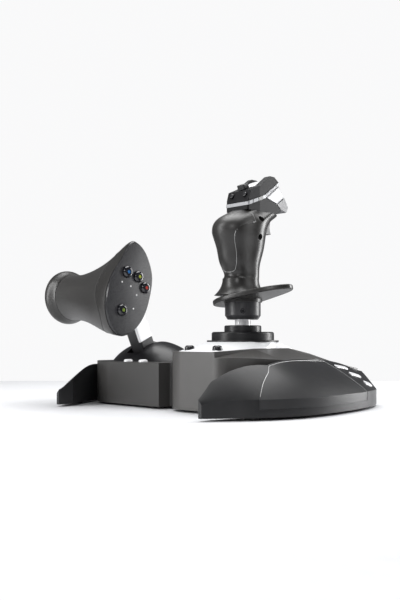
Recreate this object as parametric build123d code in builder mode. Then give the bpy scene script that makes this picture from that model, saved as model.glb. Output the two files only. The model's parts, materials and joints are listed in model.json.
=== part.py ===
from build123d import *
from math import atan2, cos, degrees, radians, sin
import os

os.makedirs("parts", exist_ok=True)

# ---------------------------------------------------------------- driving dimensions (mm)
DEPTH = 232.0  # whole object, front to back
HALF_WIDTH = 160.5  # from the middle to the widest point of a wing
HALF_DEPTH = DEPTH / 2
BASE_Z = 2.5  # underside of the bases, above the feet
COVER_T = 3.0  # bottom covers
COVER_TOP = BASE_Z + COVER_T
WALL = 2.4  # moulded walls
BODY_X = 120.5  # outer side wall of both bodies
SEAM_X = 8.5  # where the two bodies meet
REAR_Y = 114.0  # rear wall
FRONT_Y = -73.0  # front wall of the stick's body
RIDGE_Z = 50.0  # top of the side walls
BEVEL_Z = 18.0  # top of the vertical rim round the wings
GAP = 0.3  # free clearance between curved faces
FIT = 0.05  # running fit of shafts, per side
FOOT_R = 7.0

STICK_X = 46.5  # stick axis
STICK_Y = 4.0
GIMBAL_Z = 52.0  # height of the tilt centre
PLATE_TOP = 66.6  # flat of the control plate round the stick
RING_R = 31.8  # big ring on the plate
RING_TOP = 76.7
DOME_R = 27.0  # dust dome, about the tilt centre
SHAFT_R = 8.0
COLLAR_R = 18.2
SEAM_Z = 130.2  # joint between hand rest and grip
GRIP_TOP = 199.0  # joint between grip and head
HAND_REST_TRAVEL = 6.0

THROTTLE_X = -61.5  # middle of the throttle's arm
THROTTLE_Y = -16.0  # throttle pivot
THROTTLE_Z = 20.0
THROTTLE_LEAN = 24.0  # degrees towards the user at rest
THROTTLE_TOP = 46.0  # top of the throttle's body
ARM_W = 19.0
ARM_D = 17.6
FACE_X = -38.5  # face of the throttle's handle


def level(z):
    """Horizontal plane at height z."""
    return Plane.XY.offset(z)


def stick_level(z):
    """Horizontal plane at height z with its origin on the stick's axis."""
    return Plane(origin=(STICK_X, STICK_Y, z))


# ---------------------------------------------------------------- stick's body
TOP_STATIONS = (
    # y, side ridge, foot of the facet, edge of the plateau in x, plateau height
    (-90.0, 50.0, 49.6, 73.5, 56.5),
    (-26.0, 50.0, 59.6, 86.5, 60.4),
    (28.0, 50.0, 59.6, 86.5, 60.4),
    (64.0, 45.0, 53.6, 86.5, 54.6),
    (122.0, 36.0, 41.0, 86.5, 42.0),
)


def top_sections(drop):
    """Sections of the solid under the sloping top of the stick's body, lowered by drop."""
    sections = []
    for y, ridge, foot, edge, plateau in TOP_STATIONS:
        with BuildSketch(Plane.XZ.offset(-y)) as section:
            with BuildLine():
                Polyline(
                    (-10, -5),
                    (130, -5),
                    (130, ridge - 4 - drop),
                    (BODY_X, ridge - drop),
                    (edge + 0.6, foot - drop),
                    (edge, plateau - drop),
                    (20, plateau - drop),
                    (-10, plateau - 3 - drop),
                    close=True,
                )
            make_face()
        sections.append(section.sketch)
    return sections


def body_outline(z, inset):
    """Footprint of the stick's body at height z, drawn in by inset."""
    left = SEAM_X + inset
    right = BODY_X - inset
    rear = REAR_Y - inset
    front = FRONT_Y + inset
    corner = 25.0 - inset
    k = corner * (1 - cos(radians(45)))
    with BuildSketch(level(z)) as outline:
        with BuildLine():
            Polyline((left, front + corner), (left, rear), (right - 8, rear), (right, rear - 8), (right, -20))
            Spline(
                (right, -20),
                (118.3 - 0.95 * inset, -31 + 0.3 * inset),
                (108.5 - 0.75 * inset, -51 + 0.65 * inset),
                (92 - 0.5 * inset, -65.5 + 0.87 * inset),
                (73.5, front),
                tangents=((0, -1), (-1, 0)),
            )
            Line((73.5, front), (left + corner, front))
            ThreePointArc((left + corner, front), (left + k, front + k), (left, front + corner))
        make_face()
    return outline.sketch


PLATE_TILT = 1.7
PLATE_FRONT_Z = 56.6
PLATE_POINTS = (
    (11.0, -47.0),
    (14.0, -57.0),
    (20.5, -65.5),
    (32.0, -71.0),
    (52.0, -71.3),
    (72.5, -71.3),
    (80.5, -47.0),
    (86.0, -26.0),
    (86.0, 4.0),
    (86.0, 36.0),
    (68.0, 50.0),
    (46.5, 53.0),
    (24.0, 50.0),
    (12.0, 38.0),
    (11.0, 4.0),
    (11.0, -26.0),
)
PLATE_PLANE = Plane(
    origin=(STICK_X, FRONT_Y, PLATE_FRONT_Z),
    x_dir=(1, 0, 0),
    z_dir=(0, -sin(radians(PLATE_TILT)), cos(radians(PLATE_TILT))),
)


def plate_outline(plane, grow):
    """Outline of the control plate on its sloping seat."""
    with BuildSketch(plane) as outline:
        with BuildLine():
            Polyline(*[(x - STICK_X, y - FRONT_Y) for x, y in PLATE_POINTS], close=True)
        make_face()
        if grow:
            offset(amount=grow, kind=Kind.INTERSECTION)
    return outline.sketch


def plate_sections(shrink, drop):
    """Sections from the plate's outline up to the flat round the stick."""
    radius = 37.4 - shrink
    angles = [atan2(y - STICK_Y, x - STICK_X) for x, y in PLATE_POINTS]
    with BuildSketch(level(PLATE_TOP - drop)) as flat:
        with BuildLine():
            Polyline(*[(STICK_X + radius * cos(a), STICK_Y + radius * sin(a)) for a in angles], close=True)
        make_face()
    return [plate_outline(PLATE_PLANE, -shrink), flat.sketch]


BUTTON_R = 4.7
PLATE_BUTTONS = ((STICK_X - 15.0, STICK_Y - 62.0), (STICK_X + 21.0, STICK_Y - 62.0))
BUTTON_FLOOR = 50.0
BOARD_Z = 45.0
BOARD_POSTS = ((44.0, -63.0), (54.0, -63.0))
COVER_SCREWS = ((22.0, -52.0), (22.0, 100.0), (104.0, -40.0), (104.0, 96.0), (140.0, -52.0), (140.0, 78.0))
THROTTLE_SCREWS = ((-3.0, -52.0), (-4.0, 100.0), (-104.0, -44.0), (-104.0, 96.0), (-140.0, -52.0), (-140.0, 78.0))
BOSS_R = 4.0
SCREW_R = 1.5

with BuildPart() as body_cavity:
    loft(top_sections(WALL), ruled=True)
    extrude(body_outline(-1, WALL), amount=90, mode=Mode.INTERSECT)
    extrude(plate_outline(PLATE_PLANE.offset(-WALL), WALL), amount=40, mode=Mode.SUBTRACT)
    with BuildSketch(level(COVER_TOP)):
        with Locations(*COVER_SCREWS[:4]):
            Circle(BOSS_R)
    extrude(amount=90, mode=Mode.SUBTRACT)

with BuildPart() as joystick_housing:
    loft(top_sections(0), ruled=True)
    extrude(body_outline(BASE_Z, 0), amount=90, mode=Mode.INTERSECT)
    extrude(plate_outline(PLATE_PLANE, 0.25), amount=40, mode=Mode.SUBTRACT)
    add(body_cavity.part, mode=Mode.SUBTRACT)
    with BuildSketch(stick_level(40)):
        Circle(DOME_R + 2)
    extrude(amount=40, mode=Mode.SUBTRACT)
    # stems of the two plate buttons, and posts that carry the board
    with BuildSketch(level(44)):
        with Locations(*PLATE_BUTTONS):
            Circle(2.2 + GAP)
    extrude(amount=30, mode=Mode.SUBTRACT)
    with BuildSketch(level(BOARD_Z + 1.6)):
        with Locations(*BOARD_POSTS):
            Circle(2.5)
    extrude(amount=55.5 - BOARD_Z - 1.6)
    # passage for the bottom cover under the side wall, and for the cables to the throttle
    with BuildSketch(level(BASE_Z - 1)):
        with Locations((BODY_X, 30)):
            Rectangle(8, 118)
    extrude(amount=COVER_T + 1.1, mode=Mode.SUBTRACT)
    with BuildSketch(level(BASE_Z - 1)):
        with Locations((SEAM_X, 40)):
            Rectangle(10, 30)
    extrude(amount=24, mode=Mode.SUBTRACT)
    # cable inlet in the rear wall
    with BuildSketch(Plane.XZ.offset(-REAR_Y - 1)):
        with Locations((40, 16)):
            Circle(5)
    extrude(amount=6, mode=Mode.SUBTRACT)
    with BuildSketch(level(COVER_TOP)):
        with Locations(*COVER_SCREWS[:4]):
            Circle(SCREW_R)
    extrude(amount=12, mode=Mode.SUBTRACT)
joystick_housing.part.label = "joystick_housing"
export_step(joystick_housing.part, "parts/joystick_housing.step")

# ---------------------------------------------------------------- control plate and ring
with BuildPart() as plate_hollow:
    loft(plate_sections(2.2, 2.2), ruled=True)

with BuildPart() as control_plate:
    loft(plate_sections(0, 0), ruled=True)
    add(plate_hollow.part, mode=Mode.SUBTRACT)
    with BuildSketch(stick_level(50)):
        Circle(DOME_R - 2.5)
    extrude(amount=30, mode=Mode.SUBTRACT)
    with BuildSketch(level(50)):
        with Locations(*PLATE_BUTTONS):
            Circle(BUTTON_R + GAP)
    extrude(amount=30, mode=Mode.SUBTRACT)
control_plate.part.label = "control_plate"
export_step(control_plate.part, "parts/control_plate.step")

with BuildPart() as stick_ring:
    with BuildSketch(stick_level(PLATE_TOP)):
        Circle(36.6)
        Circle(RING_R - 2.5, mode=Mode.SUBTRACT)
    extrude(amount=1.6)
    with BuildSketch(stick_level(PLATE_TOP)):
        Circle(RING_R)
        Circle(RING_R - 2.5, mode=Mode.SUBTRACT)
    extrude(amount=RING_TOP - PLATE_TOP)
    fillet(stick_ring.edges().filter_by(GeomType.CIRCLE).group_by(Axis.Z)[-1].sort_by(SortBy.LENGTH)[-1], 2.0)
    # eight marks on the flange
    with BuildSketch(stick_level(PLATE_TOP + 1.6)):
        with PolarLocations(34.4, 8, start_angle=22.5 - 22.5):
            Rectangle(3.0, 1.2)
    extrude(amount=-0.7, mode=Mode.SUBTRACT)
stick_ring.part.label = "stick_ring"
export_step(stick_ring.part, "parts/stick_ring.step")

for number, name in enumerate(("plate_button_left", "plate_button_right")):
    bx, by = PLATE_BUTTONS[number]
    with BuildPart() as plate_button:
        with BuildSketch(Plane(origin=(bx, by, BUTTON_FLOOR))):
            Circle(2.2)
        extrude(amount=10)
        with BuildSketch(Plane(origin=(bx, by, BUTTON_FLOOR + 8.4))):
            Circle(BUTTON_R)
        extrude(amount=5.0)
        fillet(plate_button.edges().group_by(Axis.Z)[-1], 2.6)
    plate_button.part.label = name
    export_step(plate_button.part, f"parts/{name}.step")

# ---------------------------------------------------------------- wings
WING_STATIONS = (
    # y, inner x, outer x, inner height, rim height
    (-116.0, 97.0, 102.0, 20.0, 14.0),
    (-80.0, 104.5, 134.5, 44.0, 18.0),
    (-41.0, 116.0, 154.5, 51.5, 18.0),
    (-2.0, 118.0, 160.3, 51.8, 18.0),
    (37.0, 118.0, 160.3, 50.3, 18.0),
    (76.0, 118.0, 155.0, 45.0, 18.0),
    (REAR_Y, 118.0, 138.0, 37.5, 17.0),
)
LEFT_HEIGHTS = (19.0, 38.5, 46.6, 47.2, 46.6, 43.5, 37.5)


def wing_sections(side, inset, bottom):
    """Sections of a wing along y: side 1 is the right wing, -1 the left one."""
    sections = []
    for number, (y, inner, outer, height, rim) in enumerate(WING_STATIONS):
        if side < 0:
            height = LEFT_HEIGHTS[number]
        if inset and number == 0:
            y, inner, outer, height = y + 2.5, inner + 0.5, outer + 1.0, height + 1.0
        if inset and number == len(WING_STATIONS) - 1:
            y = y - inset
        inner = inner + inset * 1.6
        outer = outer - inset
        height = height - inset * 1.6
        rim = rim - inset * 0.6
        crown = (inner * 0.5 + outer * 0.5, height * 0.5 + rim * 0.5 + (outer - inner) * 0.045)
        with BuildSketch(Plane.XZ.offset(-y)) as section:
            with BuildLine():
                Polyline((side * inner, height), (side * inner, bottom), (side * outer, bottom), (side * outer, rim))
                ThreePointArc((side * outer, rim), (side * crown[0], crown[1]), (side * inner, height))
            make_face()
        sections.append(section.sketch)
    return sections


def wing_inside(side, grow):
    """Everything on the body's side of a wing's inner wall, as a plan outline."""
    with BuildSketch(level(-5)) as region:
        with BuildLine():
            Polyline(
                (side * 60, 130),
                (side * (BODY_X + grow), 130),
                (side * (BODY_X + grow), -50.5 - grow),
                (side * (97.5 + grow), -99),
                (side * (98.6 + grow), -125),
                (side * 60, -125),
                close=True,
            )
        make_face()
    return region.sketch


def panel_region(side):
    """Plan outline of the separate skin on top of a wing."""
    with BuildSketch(level(9.5)) as region:
        with BuildLine():
            Polyline(
                (side * (BODY_X + 1.5), -50),
                (side * 126, -56),
                (side * 130, -69),
                (side * 137, -84),
                (side * 175, -100),
                (side * 175, 66),
                (side * 154, 60),
                (side * 142, 52),
                (side * 128, 42),
                (side * (BODY_X + 1.5), 39),
                close=True,
            )
        make_face()
    return region.sketch


GILLS = ((129.0, 59.5, 3.4, 23.0), (137.8, 71.5, 3.4, 21.0), (146.8, 81.0, 3.4, 14.0))
SKIN = 1.4
panels = []
ribs = []
for side, wing_name in ((1, "right_wing"), (-1, "left_wing")):
    with BuildPart() as wing_body:
        loft(wing_sections(side, 0, BASE_Z))
        extrude(wing_inside(side, 0), amount=80, mode=Mode.SUBTRACT)
    with BuildPart() as wing_under_skin:
        loft(wing_sections(side, SKIN, -2))
    with BuildPart() as wing_low_skin:
        loft(wing_sections(side, 0.25, -2))
    with BuildPart() as wing_cavity:
        loft(wing_sections(side, WALL + SKIN, -2))
        extrude(wing_inside(side, WALL), amount=80, mode=Mode.SUBTRACT)
        with BuildSketch(level(COVER_TOP)):
            with Locations((side * 140, -52), (side * 140, 78)):
                Circle(BOSS_R)
        extrude(amount=60, mode=Mode.SUBTRACT)
    with BuildPart() as wing_panel:
        add(wing_body.part)
        add(wing_low_skin.part, mode=Mode.INTERSECT)
        add(wing_under_skin.part, mode=Mode.SUBTRACT)
        extrude(panel_region(side), amount=60, mode=Mode.INTERSECT)
    panels.append(wing_panel.part)
    with BuildPart() as wing_core:
        loft(wing_sections(side, SKIN + FIT, -2))
    with BuildPart() as wing_recess:
        extrude(panel_region(side), amount=60)
        add(wing_core.part, mode=Mode.SUBTRACT)
    with BuildPart() as wing_bed:
        loft(wing_sections(side, 0.7, -2))
    with BuildPart() as wing_ribs:
        loft(wing_sections(side, -0.9, BASE_Z))
        add(wing_bed.part, mode=Mode.SUBTRACT)
        with BuildSketch(level(15)) as rib_plan:
            for rib_x, rib_y, rib_w, rib_l in GILLS:
                with Locations((side * rib_x, rib_y)):
                    SlotOverall(rib_l, rib_w, rotation=90)
        extrude(amount=60, mode=Mode.INTERSECT)
    ribs.append(wing_ribs.part)
    with BuildPart() as wing:
        add(wing_body.part)
        add(wing_cavity.part, mode=Mode.SUBTRACT)
        add(wing_recess.part, mode=Mode.SUBTRACT)
        add(wing_ribs.part, mode=Mode.SUBTRACT)
        with BuildSketch(level(0)):
            with Locations((side * BODY_X, 30)):
                Rectangle(8, 118)
        extrude(amount=COVER_TOP + 0.1, mode=Mode.SUBTRACT)
        with BuildSketch(level(COVER_TOP)):
            with Locations((side * 140, -52), (side * 140, 78)):
                Circle(SCREW_R)
        extrude(amount=12, mode=Mode.SUBTRACT)
    wing.part.label = wing_name
    export_step(wing.part, f"parts/{wing_name}.step")

with BuildPart() as wing_panels:
    add(panels)
wing_panels.part.label = "wing_panels"
export_step(wing_panels.part, "parts/wing_panels.step")

with BuildPart() as wing_gills:
    add(ribs)
wing_gills.part.label = "wing_gills"
export_step(wing_gills.part, "parts/wing_gills.step")

# ---------------------------------------------------------------- underside of the stick's base
COVER_CLEAR = 0.3


STICK_COVER_FRONT = (
    (SEAM_X + WALL + 0.3, -40),
    (SEAM_X + WALL + 14.3, FRONT_Y + WALL + 5.3),
    (72, FRONT_Y + WALL + 5.3),
)
THROTTLE_COVER_FRONT = ((SEAM_X - WALL - 0.5, -51), (-3.5, -54), (-4, -65), (-72, -65))


def base_cover(side, front, screws):
    """Bottom cover under a body and its wing."""
    c = WALL + COVER_CLEAR
    inner_x = front[0][0]
    with BuildPart() as cover:
        with BuildSketch(level(BASE_Z)):
            with BuildLine():
                Polyline(
                    *front,
                    (side * 100, -52),
                    (side * 114, -28),
                    (side * 124.8, -28),
                    (side * 124.8, -50),
                    (side * 114, -76),
                    (side * 113, -82),
                    (side * 120, -83),
                    (side * 133, -67),
                    (side * 144, -43),
                    (side * 152, -15),
                    (side * 155, 24),
                    (side * 152, 62),
                    (side * 144, 92),
                    (side * 134, 108),
                    (side * 124.8, 106),
                    (side * 124.8, 86),
                    (side * 116, 86),
                    (side * 116, 104),
                    (side * 110, REAR_Y - c),
                    (inner_x, REAR_Y - c),
                    close=True,
                )
            make_face()
        extrude(amount=COVER_T)
        with BuildSketch(level(BASE_Z)):
            with Locations(*screws):
                Circle(SCREW_R + 0.3)
        extrude(amount=COVER_T, mode=Mode.SUBTRACT)
        with BuildSketch(level(BASE_Z)):
            with Locations(*screws):
                Circle(3.4)
        extrude(amount=1.9, mode=Mode.SUBTRACT)
    return cover.part


STICK_FEET = ((124.0, -76.0), (140.0, -30.0), (140.0, 60.0), (24.0, -40.0), (100.0, 84.0), (28.0, 84.0))
with BuildPart() as joystick_bottom_cover:
    add(base_cover(1, STICK_COVER_FRONT, COVER_SCREWS))
joystick_bottom_cover.part.label = "joystick_bottom_cover"
export_step(joystick_bottom_cover.part, "parts/joystick_bottom_cover.step")

THROTTLE_FEET = ((-124.0, -76.0), (-140.0, -30.0), (-140.0, 60.0), (-20.0, -50.0), (-100.0, 84.0), (-20.0, 84.0))
with BuildPart() as rubber_feet:
    with BuildSketch(level(0)):
        with Locations(*STICK_FEET, *THROTTLE_FEET):
            Circle(FOOT_R)
    extrude(amount=BASE_Z)
    chamfer(rubber_feet.edges().group_by(Axis.Z)[0], 0.6)
rubber_feet.part.label = "rubber_feet"
export_step(rubber_feet.part, "parts/rubber_feet.step")


def cover_screws(points):
    """Identical self-tapping screws, head down."""
    with BuildPart() as screws:
        with BuildSketch(level(BASE_Z + 0.3)):
            with Locations(*points):
                Circle(3.0)
        extrude(amount=1.6)
        with BuildSketch(level(BASE_Z + 1.9)):
            with Locations(*points):
                Circle(SCREW_R - 0.05)
        extrude(amount=11.0)
        with BuildSketch(level(BASE_Z + 0.3)):
            with Locations(*points):
                Rectangle(3.4, 0.7)
                Rectangle(0.7, 3.4)
        extrude(amount=0.8, mode=Mode.SUBTRACT)
    return screws.part


with BuildPart() as base_screws:
    add(cover_screws((*COVER_SCREWS, *THROTTLE_SCREWS)))
base_screws.part.label = "base_screws"
export_step(base_screws.part, "parts/base_screws.step")

with BuildPart() as main_board:
    with BuildSketch(level(BOARD_Z)):
        with Locations((50, -58.5)):
            Rectangle(44, 15)
    extrude(amount=1.6)
    with BuildSketch(level(BOARD_Z + 1.6)):
        with Locations(*PLATE_BUTTONS):
            Rectangle(5, 5)
    extrude(amount=2.1)
    with BuildSketch(level(BOARD_Z)):
        with Locations((40, -58), (56, -58)):
            Rectangle(9, 7)
    extrude(amount=-2.0)
main_board.part.label = "main_board"
export_step(main_board.part, "parts/main_board.step")

with BuildPart() as cable_grommet:
    with BuildSketch(Plane(origin=(40, REAR_Y, 16), x_dir=(1, 0, 0), z_dir=(0, -1, 0))):
        Circle(4.9)
        Circle(2.5, mode=Mode.SUBTRACT)
    extrude(amount=WALL)
    with BuildSketch(Plane(origin=(40, REAR_Y, 16), x_dir=(1, 0, 0), z_dir=(0, 1, 0))):
        Circle(6.8)
        Circle(2.5, mode=Mode.SUBTRACT)
    extrude(amount=1.8)
    with BuildSketch(Plane(origin=(40, REAR_Y - WALL, 16), x_dir=(1, 0, 0), z_dir=(0, -1, 0))):
        Circle(6.5)
        Circle(2.5, mode=Mode.SUBTRACT)
    extrude(amount=1.8)
cable_grommet.part.label = "cable_grommet"
export_step(cable_grommet.part, "parts/cable_grommet.step")

# ---------------------------------------------------------------- gimbal
POST_IN = 11.0
POST_OUT = 15.0
PITCH_AXLE_R = 2.0
ROLL_AXLE_R = 1.6
YOKE_R = 10.5
YOKE_IN = 6.3
HUB_R = 5.5
NECK_R = 4.0


def stick_side(x, direction):
    """Plane square to X at x from the stick's axis, centred on the tilt centre."""
    return Plane(origin=(STICK_X + x, STICK_Y, GIMBAL_Z), x_dir=(0, 1, 0), z_dir=(direction, 0, 0))


def stick_front(y, direction):
    """Plane square to Y at y from the stick's axis, centred on the tilt centre."""
    return Plane(origin=(STICK_X, STICK_Y + y, GIMBAL_Z), x_dir=(1, 0, 0), z_dir=(0, direction, 0))


with BuildPart() as gimbal_bracket:
    with BuildSketch(stick_level(COVER_TOP)):
        Rectangle(46, 38)
    extrude(amount=3)
    with BuildSketch(stick_level(COVER_TOP)):
        with Locations((-(POST_IN + POST_OUT) / 2, 0), ((POST_IN + POST_OUT) / 2, 0)):
            Rectangle(POST_OUT - POST_IN, 11)
    extrude(amount=GIMBAL_Z + 5 - COVER_TOP)
    with BuildSketch(stick_level(COVER_TOP)):
        with Locations((-16.5, 0), (16.5, 0)):
            Rectangle(11, 4)
    extrude(amount=20)
    with BuildSketch(stick_side(-30, 1)):
        Circle(PITCH_AXLE_R + FIT)
    extrude(amount=60, mode=Mode.SUBTRACT)
gimbal_bracket.part.label = "gimbal_bracket"
export_step(gimbal_bracket.part, "parts/gimbal_bracket.step")

with BuildPart() as pitch_yoke:
    with BuildSketch(stick_level(GIMBAL_Z - 3.5)):
        Circle(YOKE_R)
        Circle(YOKE_IN, mode=Mode.SUBTRACT)
    extrude(amount=7)
    with BuildSketch(stick_side(YOKE_R - 1.5, 1)):
        Circle(PITCH_AXLE_R)
    extrude(amount=POST_OUT + 3.0 - YOKE_R + 1.5)
    with BuildSketch(stick_side(-YOKE_R + 1.5, -1)):
        Circle(PITCH_AXLE_R)
    extrude(amount=POST_OUT + 3.0 - YOKE_R + 1.5)
    with BuildSketch(stick_front(-12, 1)):
        Circle(ROLL_AXLE_R + FIT)
    extrude(amount=24, mode=Mode.SUBTRACT)
pitch_yoke.part.label = "pitch_yoke"
export_step(pitch_yoke.part, "parts/pitch_yoke.step")

with BuildPart() as roll_hub:
    with Locations((STICK_X, STICK_Y, GIMBAL_Z)):
        Sphere(HUB_R)
    with BuildSketch(stick_front(-HUB_R + 1.5, -1)):
        Circle(ROLL_AXLE_R)
    extrude(amount=15.0 - HUB_R + 1.5)
    with BuildSketch(stick_front(HUB_R - 1.5, 1)):
        Circle(ROLL_AXLE_R)
    extrude(amount=15.0 - HUB_R + 1.5)
    with BuildSketch(stick_level(GIMBAL_Z)):
        Circle(NECK_R)
    extrude(amount=88 - GIMBAL_Z)
roll_hub.part.label = "roll_hub"
export_step(roll_hub.part, "parts/roll_hub.step")

with BuildPart() as pitch_sensor:
    with BuildSketch(stick_side(-POST_OUT, -1)):
        Circle(6.2)
        Circle(PITCH_AXLE_R + GAP, mode=Mode.SUBTRACT)
    extrude(amount=4.2)
    with BuildSketch(stick_side(-POST_OUT - 4.2, -1)):
        Circle(6.2)
    extrude(amount=1.2)

with BuildPart() as roll_sensor:
    with BuildSketch(stick_front(YOKE_R - 0.6, 1)):
        Rectangle(9, 7)
        Circle(ROLL_AXLE_R + GAP, mode=Mode.SUBTRACT)
    extrude(amount=5.4)
    with BuildSketch(stick_front(YOKE_R + 4.8, 1)):
        Rectangle(9, 7)
    extrude(amount=1.0)
    with BuildSketch(stick_level(GIMBAL_Z - 3.5)):
        Circle(YOKE_R)
    extrude(amount=7, mode=Mode.SUBTRACT)
roll_sensor.part.label = "roll_sensor"
export_step(roll_sensor.part, "parts/roll_sensor.step")

WIRE_R = 0.5


def coil(start, direction, radius, length):
    """Centring spring wound round an axle."""
    with BuildPart() as spring:
        with BuildLine() as path:
            Helix(pitch=1.25, height=length, radius=radius, center=start, direction=direction)
        with BuildSketch(path.line ^ 0):
            Circle(WIRE_R)
        sweep(path=path.line)
    return spring.part


with BuildPart() as pitch_spring:
    add(coil((STICK_X + POST_OUT + 0.7, STICK_Y, GIMBAL_Z), (1, 0, 0), PITCH_AXLE_R + 0.9, 3.6))
pitch_spring.part.label = "pitch_spring"
export_step(pitch_spring.part, "parts/pitch_spring.step")

with BuildPart() as roll_spring:
    add(coil((STICK_X, STICK_Y - YOKE_R - 0.8, GIMBAL_Z), (0, -1, 0), ROLL_AXLE_R + 0.9, 3.2))
roll_spring.part.label = "roll_spring"
export_step(roll_spring.part, "parts/roll_spring.step")

SHAFT_FOOT = 68.0
SHAFT_TOP = 150.0
with BuildPart() as stick_shaft:
    with BuildSketch(stick_level(SHAFT_FOOT)):
        Circle(SHAFT_R)
    extrude(amount=SHAFT_TOP - SHAFT_FOOT)
    with BuildSketch(stick_level(SHAFT_FOOT)):
        Circle(NECK_R + 0.02)
    extrude(amount=88.02 - SHAFT_FOOT, mode=Mode.SUBTRACT)
    with BuildSketch(stick_level(SHAFT_TOP)):
        Circle(SHAFT_R + 2.5)
    extrude(amount=3)
stick_shaft.part.label = "stick_shaft"
export_step(stick_shaft.part, "parts/stick_shaft.step")

with BuildPart() as dust_dome:
    with Locations((STICK_X, STICK_Y, GIMBAL_Z)):
        Sphere(DOME_R)
        Sphere(DOME_R - 2, mode=Mode.SUBTRACT)
    with BuildSketch(stick_level(GIMBAL_Z + 4.7)):
        Circle(40)
    extrude(amount=-40, mode=Mode.SUBTRACT)
    with BuildSketch(stick_level(GIMBAL_Z + 10)):
        Circle(SHAFT_R + 0.02)
    extrude(amount=30, mode=Mode.SUBTRACT)
dust_dome.part.label = "dust_dome"
export_step(dust_dome.part, "parts/dust_dome.step")

with BuildPart() as shaft_ring:
    with BuildSketch(stick_level(RING_TOP)):
        Circle(18.9)
        Circle(SHAFT_R + 0.02, mode=Mode.SUBTRACT)
    extrude(amount=6.6)
    fillet(shaft_ring.edges().filter_by(GeomType.CIRCLE).group_by(Axis.Z)[-1].sort_by(SortBy.LENGTH)[-1], 1.5)
    with Locations((STICK_X, STICK_Y, GIMBAL_Z)):
        Sphere(DOME_R + 0.02, mode=Mode.SUBTRACT)
shaft_ring.part.label = "shaft_ring"
export_step(shaft_ring.part, "parts/shaft_ring.step")

# ---------------------------------------------------------------- grip
GRIP_STATIONS = (
    # z, centre y, half width, half depth
    (SEAM_Z, -3.3, 16.0, 20.0),
    (141.0, -3.6, 16.6, 20.8),
    (155.0, -4.2, 18.8, 25.4),
    (169.0, -5.0, 21.4, 29.2),
    (181.0, -4.8, 23.0, 31.2),
    (188.0, -0.5, 22.4, 31.2),
    (194.0, 8.0, 20.4, 30.6),
    (GRIP_TOP, 17.5, 18.4, 30.0),
)


def grip_sections(inset, stations):
    """Closed smooth sections of the grip, drawn in by inset."""
    sections = []
    for z, cy, half_x, half_y in stations:
        a = half_x - inset
        b = half_y - inset
        k = 0.735
        with BuildSketch(stick_level(z)) as section:
            with BuildLine():
                Spline(
                    (a, cy),
                    (a * k, cy + b * k),
                    (0, cy + b),
                    (-a * k, cy + b * k),
                    (-a, cy),
                    (-a * k, cy - b * k),
                    (0, cy - b),
                    (a * k, cy - b * k),
                    periodic=True,
                )
            make_face()
        sections.append(section.sketch)
    return sections


GRIP_WALL = 2.4
INLAY_T = 1.5
SPIGOT_R = 12.5
COLLAR_STEP = 109.0

with BuildPart() as grip_solid:
    loft(grip_sections(0, GRIP_STATIONS))

with BuildPart() as grip_under_inlay:
    loft(grip_sections(INLAY_T, GRIP_STATIONS))

with BuildPart() as grip_cavity:
    loft(grip_sections(GRIP_WALL + INLAY_T, GRIP_STATIONS))
    with BuildSketch(stick_level(SEAM_Z + GRIP_WALL)):
        Rectangle(120, 120)
    extrude(amount=-20, mode=Mode.SUBTRACT)
    with BuildSketch(stick_level(GRIP_TOP - GRIP_WALL)):
        Rectangle(120, 120)
    extrude(amount=20, mode=Mode.SUBTRACT)

with BuildPart() as inlay_region:
    with BuildSketch(Plane(origin=(STICK_X, STICK_Y - 60, 0), x_dir=(1, 0, 0), z_dir=(0, 1, 0))):
        with BuildLine():
            Spline(
                (7.5, -138.5),
                (11.5, -147),
                (12.5, -160),
                (14.5, -172),
                (19.5, -182),
                (23.0, -190),
                (0, -195.5),
                (-23.0, -190),
                (-19.5, -182),
                (-14.5, -172),
                (-12.5, -160),
                (-11.5, -147),
                (-7.5, -138.5),
                (0, -136.2),
                periodic=True,
            )
        make_face()
    extrude(amount=54)

with BuildPart() as palm_inlay:
    add(grip_solid.part)
    add(inlay_region.part, mode=Mode.INTERSECT)
    add(grip_under_inlay.part, mode=Mode.SUBTRACT)
palm_inlay.part.label = "palm_inlay"
export_step(palm_inlay.part, "parts/palm_inlay.step")

TRIGGER_W = 11.0
TRIGGER_Y = 38.0
TRIGGER_Z = 193.0
GRIP_SCREWS = ((0.0, 171.6), (3.0, 190.0))

with BuildPart() as grip_shell:
    add(grip_solid.part)
    add(grip_cavity.part, mode=Mode.SUBTRACT)
    with BuildSketch(stick_level(SEAM_Z)):
        Circle(SPIGOT_R + 0.05)
    extrude(amount=10, mode=Mode.SUBTRACT)
    add(palm_inlay.part, mode=Mode.SUBTRACT)
    # finger slot of the trigger
    with BuildSketch(stick_level(176)):
        with Locations((0, 30)):
            Rectangle(TRIGGER_W + 2.4, 40)
    extrude(amount=40, mode=Mode.SUBTRACT)

with BuildPart() as grip_screw_holes:
    with BuildSketch(Plane(origin=(STICK_X + 5, STICK_Y, 0), x_dir=(0, 1, 0), z_dir=(1, 0, 0))):
        with Locations(*GRIP_SCREWS):
            Circle(1.6)
    extrude(amount=30)
    with BuildSketch(Plane(origin=(STICK_X + 14.5, STICK_Y, 0), x_dir=(0, 1, 0), z_dir=(1, 0, 0))):
        with Locations(*GRIP_SCREWS):
            Circle(3.0)
    extrude(amount=30)

with BuildPart() as grip_bosses:
    with BuildSketch(Plane(origin=(STICK_X, STICK_Y, 0), x_dir=(0, 1, 0), z_dir=(1, 0, 0))):
        with Locations(*GRIP_SCREWS):
            Circle(4.2)
    extrude(amount=30)
    add(grip_under_inlay.part, mode=Mode.INTERSECT)

for side, name in ((1, "grip_right_shell"), (-1, "grip_left_shell")):
    with BuildPart() as half_shell:
        add(grip_shell.part)
        if side > 0:
            add(grip_bosses.part)
            add(grip_screw_holes.part, mode=Mode.SUBTRACT)
        with BuildSketch(stick_level(120)):
            with Locations((-side * 60, 0)):
                Rectangle(120, 200)
        extrude(amount=120, mode=Mode.SUBTRACT)
    half_shell.part.label = name
    export_step(half_shell.part, f"parts/{name}.step")

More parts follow.
